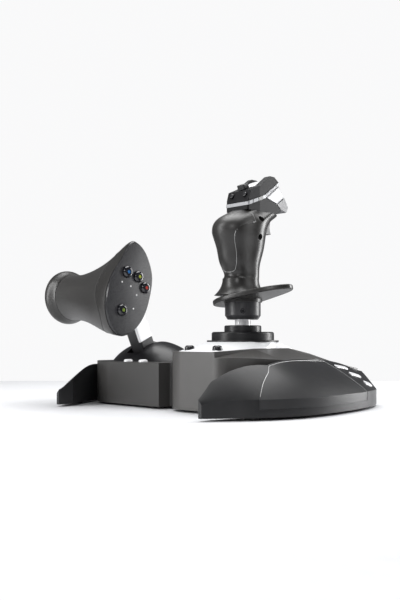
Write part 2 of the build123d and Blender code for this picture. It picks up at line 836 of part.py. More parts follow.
with BuildPart() as grip_screws:
    with BuildSketch(Plane(origin=(STICK_X + 5.5, STICK_Y, 0), x_dir=(0, 1, 0), z_dir=(1, 0, 0))):
        with Locations(*GRIP_SCREWS):
            Circle(1.55)
    extrude(amount=9.0)
    with BuildSketch(Plane(origin=(STICK_X + 14.5, STICK_Y, 0), x_dir=(0, 1, 0), z_dir=(1, 0, 0))):
        with Locations(*GRIP_SCREWS):
            Circle(2.7)
    extrude(amount=1.5)
    with BuildSketch(Plane(origin=(STICK_X + 16.0, STICK_Y, 0), x_dir=(0, 1, 0), z_dir=(1, 0, 0))):
        with Locations(*GRIP_SCREWS):
            Rectangle(3.2, 0.7)
            Rectangle(0.7, 3.2)
    extrude(amount=-0.8, mode=Mode.SUBTRACT)
grip_screws.part.label = "grip_screws"
export_step(grip_screws.part, "parts/grip_screws.step")

COLLAR_FOOT = 89.4
LOCK_PLANE = Plane(origin=(STICK_X, STICK_Y, 97.5), x_dir=(0.766, 0.643, 0), z_dir=(0.643, -0.766, 0))
with BuildPart() as grip_collar:
    with BuildSketch(stick_level(COLLAR_FOOT)):
        Circle(COLLAR_R)
    extrude(amount=COLLAR_STEP - COLLAR_FOOT)
    chamfer(grip_collar.edges().group_by(Axis.Z)[0], length=3.9, length2=2.6)
    with BuildSketch(stick_level(COLLAR_STEP)):
        Circle(SPIGOT_R)
    extrude(amount=SEAM_Z + 7 - COLLAR_STEP)
    with BuildSketch(stick_level(COLLAR_FOOT)):
        Circle(SHAFT_R + FIT)
    extrude(amount=60, mode=Mode.SUBTRACT)
    with BuildSketch(LOCK_PLANE.offset(12.5)):
        Circle(2.9)
    extrude(amount=10, mode=Mode.SUBTRACT)
grip_collar.part.label = "grip_collar"
export_step(grip_collar.part, "parts/grip_collar.step")

with BuildPart() as rudder_lock_screw:
    with BuildSketch(LOCK_PLANE.offset(12.5)):
        Circle(2.85)
    extrude(amount=3.0)
    with BuildSketch(LOCK_PLANE.offset(15.5)):
        Circle(2.85)
        RegularPolygon(1.6, 6, mode=Mode.SUBTRACT)
    extrude(amount=2.9)
rudder_lock_screw.part.label = "rudder_lock_screw"
export_step(rudder_lock_screw.part, "parts/rudder_lock_screw.step")

with BuildPart() as rudder_sensor:
    with BuildSketch(stick_level(SHAFT_TOP + 7.4)):
        Rectangle(80, 9)
    extrude(amount=2)
    add(grip_cavity.part, mode=Mode.INTERSECT)
    with BuildSketch(stick_level(SHAFT_TOP + 3.4)):
        Circle(11.0)
    extrude(amount=4)
rudder_sensor.part.label = "rudder_sensor"
export_step(rudder_sensor.part, "parts/rudder_sensor.step")

# ---------------------------------------------------------------- hand rest, sliding on the collar
REST_SLOPE = radians(10)
REST_Z = 111.5
REST_PLANE = Plane(
    origin=(STICK_X, STICK_Y, REST_Z), x_dir=(cos(REST_SLOPE), 0, sin(REST_SLOPE)), z_dir=(-sin(REST_SLOPE), 0, cos(REST_SLOPE))
)
with BuildPart() as rest_skirt:
    loft(
        [
            grip_sections(0, ((SEAM_Z, -3.3, 16.0, 20.0),))[0],
            grip_sections(0, ((124.5, -3.3, 16.8, 20.9),))[0],
            grip_sections(0, ((118.5, -3.5, 19.6, 23.6),))[0],
            grip_sections(0, ((113.5, -4.0, 24.0, 27.5),))[0],
        ]
    )

with BuildPart() as hand_rest:
    with BuildSketch(REST_PLANE.offset(-4.6)):
        with BuildLine():
            Spline(
                (-27.5, -4),
                (-22, 14),
                (-4, 22),
                (20, 20),
                (44, 14),
                (59, 6),
                (63, -4),
                (58, -14),
                (42, -25),
                (20, -32),
                (-4, -33),
                (-21, -23),
                periodic=True,
            )
        make_face()
    extrude(amount=4.6)
    fillet(hand_rest.edges().group_by(SortBy.LENGTH)[-1], 1.2)
    add(rest_skirt.part)
    with BuildSketch(stick_level(113.5)):
        Circle(19.8)
    extrude(amount=-6.6)
    with BuildSketch(stick_level(90)):
        Circle(COLLAR_R + 0.06)
    extrude(amount=COLLAR_STEP + HAND_REST_TRAVEL + 0.5 - 90, mode=Mode.SUBTRACT)
    with BuildSketch(stick_level(90)):
        Circle(SPIGOT_R + 0.06)
    extrude(amount=60, mode=Mode.SUBTRACT)
hand_rest.part.label = "hand_rest"
export_step(hand_rest.part, "parts/hand_rest.step")

# ---------------------------------------------------------------- head
HEAD_PLANE = Plane(origin=(STICK_X, STICK_Y, 0), x_dir=(0, 1, 0), z_dir=(1, 0, 0))
HEAD_HOUSING = (
    (-10, GRIP_TOP),
    (-9, 203.5),
    (17, 214),
    (41, 231),
    (54.5, 220.6),
    (38, 210.8),
    (47, 206.3),
    (42, 202),
    (34, GRIP_TOP),
)
HEAD_RIM = ((-9, 203.5), (17, 214), (41, 231), (41.8, 234.6), (17, 217.4), (-9.4, 206.9))
HEAD_NOSE = ((38.7, 210.8), (55.4, 220.2), (63.5, 211.5), (59.5, 205.4), (47.3, 206.8))
HEAD_TOP = ((-9.4, 206.9), (17, 217.4), (41.8, 234.6), (34, 238.6), (26, 238.2), (9, 225.5), (-5, 219.5))
HEAD_PLAN = ((-12, 12), (-8, 15.6), (8, 16.8), (40, 15.0), (66, 10.2))


def head_block(profile, narrow):
    """Block of the head: its side profile, kept inside the head's tapering plan."""
    with BuildPart() as block:
        with BuildSketch(HEAD_PLANE.offset(-20)):
            with BuildLine():
                Polyline(*profile, close=True)
            make_face()
        extrude(amount=40)
        with BuildSketch(stick_level(190)):
            with BuildLine():
                right = [(x - narrow, y) for y, x in HEAD_PLAN]
                left = [(-x, y) for x, y in reversed(right)]
                Polyline(*right, *left, close=True)
            make_face()
        extrude(amount=60, mode=Mode.INTERSECT)
    return block.part


AXLE_Y = 36.5
AXLE_Z = 203.5
with BuildPart() as head_housing:
    add(head_block(HEAD_HOUSING, 0.8))
    # hollow, open downwards into the grip
    with BuildSketch(HEAD_PLANE.offset(-12.4)):
        with BuildLine():
            Polyline((-7, 198), (-6.4, 201.8), (18, 211.6), (30, 220), (33, 211), (33, 198), close=True)
        make_face()
    extrude(amount=24.8, mode=Mode.SUBTRACT)
    with BuildSketch(stick_level(190)):
        with Locations((0, 37)):
            Rectangle(TRIGGER_W + 2.4, 24)
    extrude(amount=17.8, mode=Mode.SUBTRACT)
    with BuildSketch(HEAD_PLANE.offset(-9.5)):
        with Locations((AXLE_Y, AXLE_Z)):
            Circle(1.5 + FIT)
    extrude(amount=19, mode=Mode.SUBTRACT)
head_housing.part.label = "head_housing"
export_step(head_housing.part, "parts/head_housing.step")

with BuildPart() as head_rim:
    add(head_block(HEAD_RIM, 0))
head_rim.part.label = "head_rim"
export_step(head_rim.part, "parts/head_rim.step")

with BuildPart() as head_nose:
    add(head_block(HEAD_NOSE, 0.3))
head_nose.part.label = "head_nose"
export_step(head_nose.part, "parts/head_nose.step")

HAT_PLANE = Plane(origin=(STICK_X, STICK_Y + 1.5, 222.3), x_dir=(1, 0, 0), z_dir=(0, -0.394, 0.919))
THUMB_PLANE = Plane(origin=(STICK_X, STICK_Y - 7.1, 213.5), x_dir=(1, 0, 0), z_dir=(0, -0.944, 0.33))
THUMB_R = 2.5
THUMB_BUTTONS = ((-8.5, 1.2), (8.5, 1.2))

with BuildPart() as head_top_panel:
    add(head_block(HEAD_TOP, 0.9))
    # trough between the two side rails
    with BuildSketch(HEAD_PLANE.offset(-9.5)):
        with BuildLine():
            Polyline((12, 223.5), (33, 235.6), (42, 240), (24, 245), (6, 232), close=True)
        make_face()
    extrude(amount=17, mode=Mode.SUBTRACT)
    # room for the hat and the thumb buttons
    with BuildSketch(HAT_PLANE.offset(-6)):
        Circle(4.4)
    extrude(amount=12, mode=Mode.SUBTRACT)
    with BuildSketch(THUMB_PLANE.offset(-5)):
        with Locations(*THUMB_BUTTONS):
            Circle(THUMB_R + GAP)
    extrude(amount=10, mode=Mode.SUBTRACT)
head_top_panel.part.label = "head_top_panel"
export_step(head_top_panel.part, "parts/head_top_panel.step")

with BuildPart() as hat_switch:
    with BuildSketch(HAT_PLANE.offset(-5.7)):
        Circle(2.2)
    extrude(amount=6.5)
    # pivot pin
    with BuildSketch(Plane(origin=HAT_PLANE.offset(-4.6).origin, x_dir=(0, 1, 0), z_dir=(1, 0, 0))):
        Circle(1.2)
    extrude(amount=3.0, both=True)
    with BuildSketch(HAT_PLANE.offset(0.8)):
        RectangleRounded(9.5, 9.5, 2.0)
    extrude(amount=4.4)
    with Locations(HAT_PLANE.offset(12.5)):
        Sphere(8.0, mode=Mode.SUBTRACT)
hat_switch.part.label = "hat_switch"
export_step(hat_switch.part, "parts/hat_switch.step")

for number, name in enumerate(("head_button_left", "head_button_right")):
    with BuildPart() as thumb_button:
        with BuildSketch(THUMB_PLANE.offset(-4)):
            with Locations(THUMB_BUTTONS[number]):
                Circle(THUMB_R)
        extrude(amount=5.8)
        fillet(thumb_button.faces().sort_by(Axis(THUMB_PLANE.origin, THUMB_PLANE.z_dir))[-1].edges(), 0.9)
    thumb_button.part.label = name
    export_step(thumb_button.part, f"parts/{name}.step")

with BuildPart() as trigger:
    with BuildSketch(HEAD_PLANE.offset(-TRIGGER_W / 2)):
        with BuildLine():
            Polyline((43.0, 200.5), (38.6, 194.5), (37.6, 188))
            Spline((37.6, 188), (37.9, 183.5), (39.8, 180.0))
            Polyline((39.8, 180.0), (31.5, 179.6), (30.0, 188), (31.5, 205.5), (41, 205.5), (43.0, 200.5))
        make_face()
    extrude(amount=TRIGGER_W)
    fillet(trigger.edges().filter_by(Axis.X, reverse=True).group_by(SortBy.LENGTH)[-1], 0.8)
    with BuildSketch(HEAD_PLANE.offset(-9.3)):
        with Locations((AXLE_Y, AXLE_Z)):
            Circle(1.5)
    extrude(amount=18.6)
trigger.part.label = "trigger"
export_step(trigger.part, "parts/trigger.step")

# ---------------------------------------------------------------- throttle's body
def throttle_outline(z, inset):
    """Footprint of the throttle's body at height z, drawn in by inset."""
    right = SEAM_X - 0.2 - inset
    left = -BODY_X + inset
    front = FRONT_Y + 4.5 + inset
    rear = REAR_Y - inset
    with BuildSketch(level(z)) as outline:
        with BuildLine():
            Polyline((left, -47), (left, rear - 8), (left + 8, rear), (right, rear), (right, front + 14))
            Polyline((right, front + 14), (right - 6, front + 12), (right - 9, front), (-75.5, front))
            ThreePointArc((-75.5, front), (-103.5 + 0.4 * inset, -62.3 + 0.9 * inset), (left, -47))
        make_face()
    return outline.sketch


def throttle_side(drop):
    """Side profile of the throttle's body: flat over the dome, falling towards the back."""
    with BuildSketch(Plane.YZ.offset(-130)) as profile:
        with BuildLine():
            Polyline(
                (-80, -3),
                (120, -3),
                (120, 36 - drop),
                (64, 43.4 - drop),
                (30, THROTTLE_TOP - drop),
                (-80, THROTTLE_TOP - drop),
                close=True,
            )
        make_face()
    return profile.sketch


BASE_BUTTONS = ((-53.5, -62.2), (-30.5, -62.2))
with BuildPart() as throttle_cavity:
    extrude(throttle_side(WALL), amount=150)
    extrude(throttle_outline(-2, WALL), amount=90, mode=Mode.INTERSECT)
    with BuildSketch(level(COVER_TOP)):
        with Locations(*THROTTLE_SCREWS[:4]):
            Circle(BOSS_R)
    extrude(amount=90, mode=Mode.SUBTRACT)

with BuildPart() as throttle_housing:
    extrude(throttle_side(0), amount=150)
    extrude(throttle_outline(BASE_Z, 0), amount=90, mode=Mode.INTERSECT)
    add(throttle_cavity.part, mode=Mode.SUBTRACT)
    with BuildSketch(level(30)):
        with Locations((THROTTLE_X, THROTTLE_Y)):
            Rectangle(30, 60)
        with Locations(*BASE_BUTTONS):
            Circle(BUTTON_R + GAP)
    extrude(amount=30, mode=Mode.SUBTRACT)
    with BuildSketch(level(BASE_Z - 1)):
        with Locations((-BODY_X, 30)):
            Rectangle(8, 118)
        with Locations((SEAM_X - 1, 40)):
            Rectangle(10, 30)
    extrude(amount=COVER_T + 1.1, mode=Mode.SUBTRACT)
    with BuildSketch(level(BASE_Z - 1)):
        with Locations((SEAM_X - 1, 40)):
            Rectangle(10, 30)
    extrude(amount=24, mode=Mode.SUBTRACT)
    with BuildSketch(level(COVER_TOP)):
        with Locations(*THROTTLE_SCREWS[:4]):
            Circle(SCREW_R)
    extrude(amount=12, mode=Mode.SUBTRACT)
    # switch plate that carries the two white buttons
    with BuildSketch(level(THROTTLE_TOP - 9.6)):
        with Locations((-42, -60.2)):
            Rectangle(40, 11)
    extrude(amount=2)
    with BuildSketch(level(THROTTLE_TOP - 9.6)):
        with Locations((-60.5, -60.2), (-42, -60.2), (-23.5, -60.2)):
            Rectangle(3, 11)
    extrude(amount=8.0)
throttle_housing.part.label = "throttle_housing"
export_step(throttle_housing.part, "parts/throttle_housing.step")

for number, name in enumerate(("base_button_left", "base_button_right")):
    bx, by = BASE_BUTTONS[number]
    with BuildPart() as base_button:
        with BuildSketch(Plane(origin=(bx, by, THROTTLE_TOP - 6.2))):
            Circle(BUTTON_R)
        extrude(amount=9.0)
        fillet(base_button.edges().group_by(Axis.Z)[-1], 2.2)
    base_button.part.label = name
    export_step(base_button.part, f"parts/{name}.step")

with BuildPart() as throttle_bottom_cover:
    add(base_cover(-1, THROTTLE_COVER_FRONT, THROTTLE_SCREWS))
throttle_bottom_cover.part.label = "throttle_bottom_cover"
export_step(throttle_bottom_cover.part, "parts/throttle_bottom_cover.step")

with BuildPart() as link_plate:
    with BuildSketch(level(COVER_TOP)):
        with Locations((SEAM_X, 40)):
            Rectangle(62, 26)
    extrude(amount=2.5)
    with BuildSketch(level(COVER_TOP + 2.5)):
        with Locations((SEAM_X, 28.5), (SEAM_X, 51.5)):
            Rectangle(62, 2)
    extrude(amount=6)
link_plate.part.label = "link_plate"
export_step(link_plate.part, "parts/link_plate.step")

# arched dome, concentric with the throttle's pivot
ARCH_R = 48.0
ARCH_X = 60.7
with BuildPart() as throttle_dome:
    with BuildSketch(Plane(origin=(THROTTLE_X - 2, THROTTLE_Y, THROTTLE_Z), x_dir=(1, 0, 0), z_dir=(0, -1, 0))):
        Ellipse(ARCH_X, ARCH_R)
        Ellipse(ARCH_X - 2.2, ARCH_R - 2.2, mode=Mode.SUBTRACT)
        with Locations((0, -50)):
            Rectangle(200, 100, mode=Mode.SUBTRACT)
    revolve(axis=Axis((THROTTLE_X, THROTTLE_Y, THROTTLE_Z), (1, 0, 0)))
    with BuildSketch(level(THROTTLE_TOP)):
        with Locations((THROTTLE_X, THROTTLE_Y)):
            Rectangle(200, 200)
    extrude(amount=-100, mode=Mode.SUBTRACT)
    with BuildSketch(level(THROTTLE_TOP + 8)):
        with Locations((THROTTLE_X, THROTTLE_Y)):
            Rectangle(ARM_W + 1.6, 66)
    extrude(amount=60, mode=Mode.SUBTRACT)
throttle_dome.part.label = "throttle_dome"
export_step(throttle_dome.part, "parts/throttle_dome.step")

# ---------------------------------------------------------------- throttle's arm and pivot
LEAN = radians(THROTTLE_LEAN)
AXLE_R = 4.0


def arm_plane(reach):
    """Plane square to the arm at a distance from the pivot along the arm."""
    return Plane(
        origin=(THROTTLE_X, THROTTLE_Y - reach * sin(LEAN), THROTTLE_Z + reach * cos(LEAN)),
        x_dir=(1, 0, 0),
        z_dir=(0, -sin(LEAN), cos(LEAN)),
    )


def pivot_side(x, direction):
    """Plane square to X at x from the middle of the arm, centred on the throttle's pivot."""
    return Plane(origin=(THROTTLE_X + x, THROTTLE_Y, THROTTLE_Z), x_dir=(0, 1, 0), z_dir=(direction, 0, 0))


TRIM_T = 3.2
ARM_REACH = 104.0
with BuildPart() as throttle_arm:
    with BuildSketch(pivot_side(-ARM_W / 2, 1)):
        Circle(11.5)
    extrude(amount=ARM_W)
    with BuildSketch(arm_plane(0)):
        Rectangle(ARM_W, ARM_D)
    extrude(amount=ARM_REACH)
    fillet(throttle_arm.edges().filter_by(Axis((0, 0, 0), (0, -sin(LEAN), cos(LEAN)))), 1.5)
    with BuildSketch(arm_plane(54)):
        with Locations((ARM_W / 2 - TRIM_T / 2, 0)):
            Rectangle(TRIM_T, ARM_D + 2)
    extrude(amount=80, mode=Mode.SUBTRACT)
    with BuildSketch(pivot_side(-20, 1)):
        Circle(AXLE_R + FIT)
    extrude(amount=40, mode=Mode.SUBTRACT)
throttle_arm.part.label = "throttle_arm"
export_step(throttle_arm.part, "parts/throttle_arm.step")

with BuildPart() as throttle_arm_trim:
    with BuildSketch(arm_plane(54)):
        with Locations((ARM_W / 2 - TRIM_T / 2, 0)):
            Rectangle(TRIM_T, ARM_D)
    extrude(amount=ARM_REACH - 54)
    chamfer(throttle_arm_trim.faces().sort_by(Axis.X)[-1].edges(), 0.6)
throttle_arm_trim.part.label = "throttle_arm_trim"
export_step(throttle_arm_trim.part, "parts/throttle_arm_trim.step")

with BuildPart() as throttle_bracket:
    with BuildSketch(Plane(origin=(THROTTLE_X, THROTTLE_Y, COVER_TOP))):
        with Locations((-15, 0), (15, 0)):
            Rectangle(4, 30)
        with Locations((-19, 0), (19, 0)):
            Rectangle(12, 30)
    extrude(amount=2)
    with BuildSketch(Plane(origin=(THROTTLE_X, THROTTLE_Y, COVER_TOP))):
        Rectangle(50, 30)
    extrude(amount=2)
    with BuildSketch(Plane(origin=(THROTTLE_X, THROTTLE_Y, COVER_TOP))):
        with Locations((-15, 0), (15, 0)):
            Rectangle(4, 18)
    extrude(amount=22)
    with BuildSketch(pivot_side(-21, 1)):
        Circle(AXLE_R)
    extrude(amount=42)
throttle_bracket.part.label = "throttle_bracket"
export_step(throttle_bracket.part, "parts/throttle_bracket.step")

with BuildPart() as throttle_friction_pad:
    with BuildSketch(pivot_side(ARM_W / 2 + 0.1, 1)):
        Circle(9.5)
        Circle(AXLE_R + 0.05, mode=Mode.SUBTRACT)
    extrude(amount=13 - ARM_W / 2 - 0.1)
throttle_friction_pad.part.label = "throttle_friction_pad"
export_step(throttle_friction_pad.part, "parts/throttle_friction_pad.step")

with BuildPart() as throttle_sensor:
    with BuildSketch(pivot_side(-17, -1)):
        Circle(8.0)
        Circle(AXLE_R + 0.05, mode=Mode.SUBTRACT)
    extrude(amount=5)
    with BuildSketch(pivot_side(-22, -1)):
        Circle(8.0)
    extrude(amount=1.5)

with BuildPart() as base_sensors:
    add(pitch_sensor.part)
    add(throttle_sensor.part)
base_sensors.part.label = "base_sensors"
export_step(base_sensors.part, "parts/base_sensors.step")

# ---------------------------------------------------------------- throttle's handle
FACE_POINTS = (
    # y, z round the face, from the apex down the front and up the user's side
    (-64.5, 169.5),
    (-54.0, 163.5),
    (-45.5, 150.5),
    (-41.2, 135.0),
    (-43.6, 116.5),
    (-50.4, 97.2),
    (-59.5, 84.0),
    (-72.0, 75.0),
    (-84.5, 72.5),
    (-95.5, 79.0),
    (-102.3, 92.5),
    (-103.6, 107.5),
    (-100.6, 122.0),
    (-93.6, 136.0),
    (-79.5, 156.0),
)
FACE_CY = -72.8
FACE_CZ = 121.0
FACE_HW = 31.5
FACE_HH = 49.0
HANDLE_STATIONS = (
    # x, centre y, centre z, half width, half height, share of the face's shape
    (FACE_X - 2.0, -72.8, 121.0, 31.5, 49.0, 1.0),
    (-50.0, -72.7, 119.6, 31.4, 46.6, 0.92),
    (-66.0, -72.3, 116.4, 29.6, 40.2, 0.68),
    (-84.0, -71.8, 114.6, 27.0, 33.0, 0.38),
    (-101.0, -71.3, 114.0, 25.2, 27.6, 0.12),
    (-118.0, -71.0, 114.4, 24.7, 24.9, 0.0),
    (-133.0, -71.0, 115.0, 25.2, 25.4, 0.0),
)
CAP_X = -133.0
HANDLE_WALL = 2.4
SLEEVE_T = 1.4


def handle_section(station, inset, shift):
    """One closed section of the handle in a plane square to X."""
    x, cy, cz, half_w, half_h, share = station
    points = []
    for y, z in FACE_POINTS:
        u = (y - FACE_CY) / FACE_HW
        v = (z - FACE_CZ) / FACE_HH
        angle = atan2(v, u)
        py = share * u + (1 - share) * cos(angle)
        pz = share * v + (1 - share) * sin(angle)
        points.append((cy + (half_w - inset) * py, cz + (half_h - inset) * pz))
    with BuildSketch(Plane.YZ.offset(x + shift)) as section:
        with BuildLine():
            Spline(*points, periodic=True)
        make_face()
    return section.sketch


with BuildPart() as handle_solid:
    loft([handle_section(station, 0, 0) for station in HANDLE_STATIONS])

with BuildPart() as handle_under_sleeve:
    loft([handle_section(station, SLEEVE_T, 0) for station in HANDLE_STATIONS])

with BuildPart() as handle_cavity:
    loft([handle_section(station, HANDLE_WALL + SLEEVE_T, 0) for station in HANDLE_STATIONS])
    # solid core round the arm
    with BuildSketch(Plane(origin=(THROTTLE_X, 0, 0), x_dir=(0, 1, 0), z_dir=(1, 0, 0)).offset(-12)):
        with BuildLine():
            Polyline((-90, 60), (-30, 60), (-44, 118), (-82, 124), close=True)
        make_face()
    extrude(amount=23, mode=Mode.SUBTRACT)
    with BuildSketch(Plane.YZ.offset(-131)):
        Rectangle(400, 400)
    extrude(amount=-20, mode=Mode.SUBTRACT)

with BuildPart() as sleeve_region:
    with BuildSketch(Plane(origin=(0, -130, 0), x_dir=(1, 0, 0), z_dir=(0, 1, 0))):
        with BuildLine():
            Polyline((-140, -60), (-140, -160), (-58, -160))
            Spline((-58, -160), (-59.5, -147), (-59.5, -132), (-56.5, -112), (-50.5, -97), (-51, -86), (-58, -77), (-70, -60))
            Line((-70, -60), (-140, -60))
        make_face()
    extrude(amount=130)

ROCKER_X = -95.0
ROCKER_Z = 114.0
ROCKER_Y = -53.0

with BuildPart() as rocker_room:
    with BuildSketch(Plane(origin=(ROCKER_X, -57.5, ROCKER_Z), x_dir=(1, 0, 0), z_dir=(0, -1, 0))):
        Rectangle(39, 17.4)
    extrude(amount=-40)

with BuildPart() as throttle_sleeve:
    add(handle_solid.part)
    add(sleeve_region.part, mode=Mode.INTERSECT)
    add(handle_under_sleeve.part, mode=Mode.SUBTRACT)
    add(rocker_room.part, mode=Mode.SUBTRACT)
    with BuildSketch(arm_plane(20)):
        Rectangle(ARM_W + 0.6, ARM_D + 0.6)
    extrude(amount=ARM_REACH, mode=Mode.SUBTRACT)
throttle_sleeve.part.label = "throttle_sleeve"
export_step(throttle_sleeve.part, "parts/throttle_sleeve.step")

with BuildPart() as rocker_lugs:
    with BuildSketch(level(ROCKER_Z + 8.7)):
        with Locations((ROCKER_X, ROCKER_Y - 1)):
            Rectangle(9, 8)
    extrude(amount=40)
    with BuildSketch(level(ROCKER_Z - 8.7)):
        with Locations((ROCKER_X, ROCKER_Y - 1)):
            Rectangle(9, 8)
    extrude(amount=-40)
    add(handle_under_sleeve.part, mode=Mode.INTERSECT)
    with BuildSketch(level(ROCKER_Z - 12)):
        with Locations((ROCKER_X, ROCKER_Y)):
            Circle(1.5 + FIT)
    extrude(amount=24, mode=Mode.SUBTRACT)

with BuildPart() as sleeve_skin:
    add(handle_solid.part)
    add(sleeve_region.part, mode=Mode.INTERSECT)
    add(handle_under_sleeve.part, mode=Mode.SUBTRACT)

with BuildPart() as throttle_handle_shell:
    add(handle_solid.part)
    add(handle_cavity.part, mode=Mode.SUBTRACT)
    add(sleeve_skin.part, mode=Mode.SUBTRACT)
    add(rocker_room.part, mode=Mode.SUBTRACT)
    add(rocker_lugs.part)
    with BuildSketch(level(ROCKER_Z - 12)):
        with Locations((ROCKER_X, ROCKER_Y)):
            Circle(1.5 + FIT)
    extrude(amount=24, mode=Mode.SUBTRACT)
    with BuildSketch(arm_plane(20)):
        Rectangle(ARM_W + 0.1, ARM_D + 0.1)
    extrude(amount=ARM_REACH - 20 + 0.05, mode=Mode.SUBTRACT)
throttle_handle_shell.part.label = "throttle_handle_shell"
export_step(throttle_handle_shell.part, "parts/throttle_handle_shell.step")

FACE_BUTTONS = ((-76.5, 137.4), (-61.9, 133.4), (-52.6, 122.6), (-83.5, 98.6))
FACE_BUTTON_R = 5.9
FACE_T = 2.0
with BuildPart() as throttle_face:
    extrude(handle_section((FACE_X - FACE_T, -72.8, 121.0, 31.5, 49.0, 1.0), 0.6, 0), amount=FACE_T - 0.9)
    loft(
        [
            handle_section((FACE_X - 0.9, -72.8, 121.0, 31.5, 49.0, 1.0), 0.6, 0),
            handle_section((FACE_X, -72.8, 121.0, 31.5, 49.0, 1.0), 1.6, 0),
        ]
    )
    with BuildSketch(Plane.YZ.offset(FACE_X - 5)):
        with Locations(*FACE_BUTTONS):
            Circle(FACE_BUTTON_R + GAP)
    extrude(amount=10, mode=Mode.SUBTRACT)
throttle_face.part.label = "throttle_face"
export_step(throttle_face.part, "parts/throttle_face.step")

BOARD_X = FACE_X - 8.5
with BuildPart() as throttle_board:
    with BuildSketch(Plane.YZ.offset(BOARD_X)):
        with BuildLine():
            Polyline((-110, 60), (-20, 60), (-20, 180), (-110, 180), close=True)
        make_face()
    extrude(amount=-1.6)
    add(handle_cavity.part, mode=Mode.INTERSECT)
    with BuildSketch(Plane.YZ.offset(BOARD_X)):
        with Locations(*FACE_BUTTONS):
            Rectangle(5, 5)
    extrude(amount=2.2)
throttle_board.part.label = "throttle_board"
export_step(throttle_board.part, "parts/throttle_board.step")

for number, (by, bz) in enumerate(FACE_BUTTONS):
    with BuildPart() as face_button:
        with BuildSketch(Plane(origin=(FACE_X - 4.9, by, bz), x_dir=(0, 1, 0), z_dir=(1, 0, 0))):
            Circle(FACE_BUTTON_R)
        extrude(amount=8.0)
        fillet(face_button.edges().group_by(Axis.X)[-1], 2.4)
    face_button.part.label = f"face_button_{number + 1}"
    export_step(face_button.part, f"parts/face_button_{number + 1}.step")

with BuildPart() as throttle_rocker:
    with BuildSketch(level(ROCKER_Z - 8.0)):
        with BuildLine():
            Polyline((-111.2, -53), (-78.8, -53))
            Spline((-78.8, -53), (-80.4, -43.6), (-95, -44.8), (-109.6, -43.6), (-111.2, -53))
        make_face()
    extrude(amount=16)
    with BuildSketch(level(ROCKER_Z - 10.8)):
        with Locations((ROCKER_X, ROCKER_Y)):
            Circle(1.5)
    extrude(amount=21.6)
throttle_rocker.part.label = "throttle_rocker"
export_step(throttle_rocker.part, "parts/throttle_rocker.step")

CAP_SECTIONS = ((0.0, 25.6), (-1.6, 26.4), (-8.0, 29.0), (-14.0, 29.3), (-16.5, 27.2))
with BuildPart() as throttle_end_cap:
    with BuildSketch(Plane(origin=(CAP_X - 0.05, -71, 115.6), x_dir=(1, 0, 0), z_dir=(0, -1, 0))):
        with BuildLine():
            Line((0, 0), (0, 25.6))
            Spline((0, 25.6), (-3.0, 26.6), (-8.0, 28.8), (-11.5, 29.5))
            ThreePointArc((-11.5, 29.5), (-15.2, 28.0), (-16.6, 24.4))
            Spline((-16.6, 24.4), (-17.3, 12), (-17.5, 0))
            Line((-17.5, 0), (0, 0))
        make_face()
    revolve(axis=Axis((CAP_X, -71, 115.6), (1, 0, 0)))
throttle_end_cap.part.label = "throttle_end_cap"
export_step(throttle_end_cap.part, "parts/throttle_end_cap.step")
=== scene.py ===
import json
import math

import bmesh
import bpy
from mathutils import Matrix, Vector


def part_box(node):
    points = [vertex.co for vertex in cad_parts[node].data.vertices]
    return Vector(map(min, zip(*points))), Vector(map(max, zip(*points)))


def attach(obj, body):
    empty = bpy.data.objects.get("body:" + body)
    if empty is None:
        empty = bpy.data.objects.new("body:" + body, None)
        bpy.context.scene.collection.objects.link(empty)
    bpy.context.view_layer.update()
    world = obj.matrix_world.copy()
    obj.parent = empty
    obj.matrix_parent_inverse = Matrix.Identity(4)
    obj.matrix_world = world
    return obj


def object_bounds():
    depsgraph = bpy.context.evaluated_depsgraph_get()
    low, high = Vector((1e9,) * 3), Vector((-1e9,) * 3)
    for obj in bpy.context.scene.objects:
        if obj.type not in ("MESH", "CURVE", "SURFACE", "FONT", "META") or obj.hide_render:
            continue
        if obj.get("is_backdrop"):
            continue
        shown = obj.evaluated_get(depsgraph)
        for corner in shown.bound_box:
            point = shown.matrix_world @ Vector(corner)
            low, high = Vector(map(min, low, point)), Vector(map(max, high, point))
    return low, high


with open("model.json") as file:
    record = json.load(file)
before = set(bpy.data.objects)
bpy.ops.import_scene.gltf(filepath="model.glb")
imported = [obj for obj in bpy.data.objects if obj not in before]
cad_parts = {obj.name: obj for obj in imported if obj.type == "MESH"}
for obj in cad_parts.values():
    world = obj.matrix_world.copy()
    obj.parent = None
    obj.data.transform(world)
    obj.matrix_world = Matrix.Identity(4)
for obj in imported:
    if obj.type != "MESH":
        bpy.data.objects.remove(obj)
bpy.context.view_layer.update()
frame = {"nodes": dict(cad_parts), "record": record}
MM = 0.001
# where the stick's upright axis meets the floor
STICK = Vector((46.5, 4.0, 0.0)) * MM

SHARP_ANGLE = 42        # degrees between faces, from which a CAD edge counts as sharp
PANEL_HIGHLIGHT_SEAM_Z = 19.5     # the wing panels' seam, drawn light as a painted highlight on their ridge, runs above this height, in mm
DOT_RADIUS = 1.7        # coloured dot on a face button, in mm
DOT_SHADE = 0.4         # the dot's colour, as a share of the button's hue
MARK_RADIUS = 0.8       # white mark beside a face button, in mm
MARK_WHITE = (0.8, 0.8, 0.8)
SPOT_FADE = (1.12, 0.92)    # a printed spot fades between these shares of its radius

# every finish: slow colour drift, worn convex edges, and fine bump
DRIFT_SCALE = 28
WORN_FROM, WORN_TO = 0.52, 0.62     # pointiness, from which an edge is worn and fully worn
BUMP_DISTANCE = 0.0002              # in metres
COAT_ROUGHNESS = 0.08


# ---------------------------------------------------------------- materials
def node(tree, kind, **values):
    """A new shader node with the given properties set."""
    made = tree.nodes.new(kind)
    for key, value in values.items():
        setattr(made, key, value)
    return made


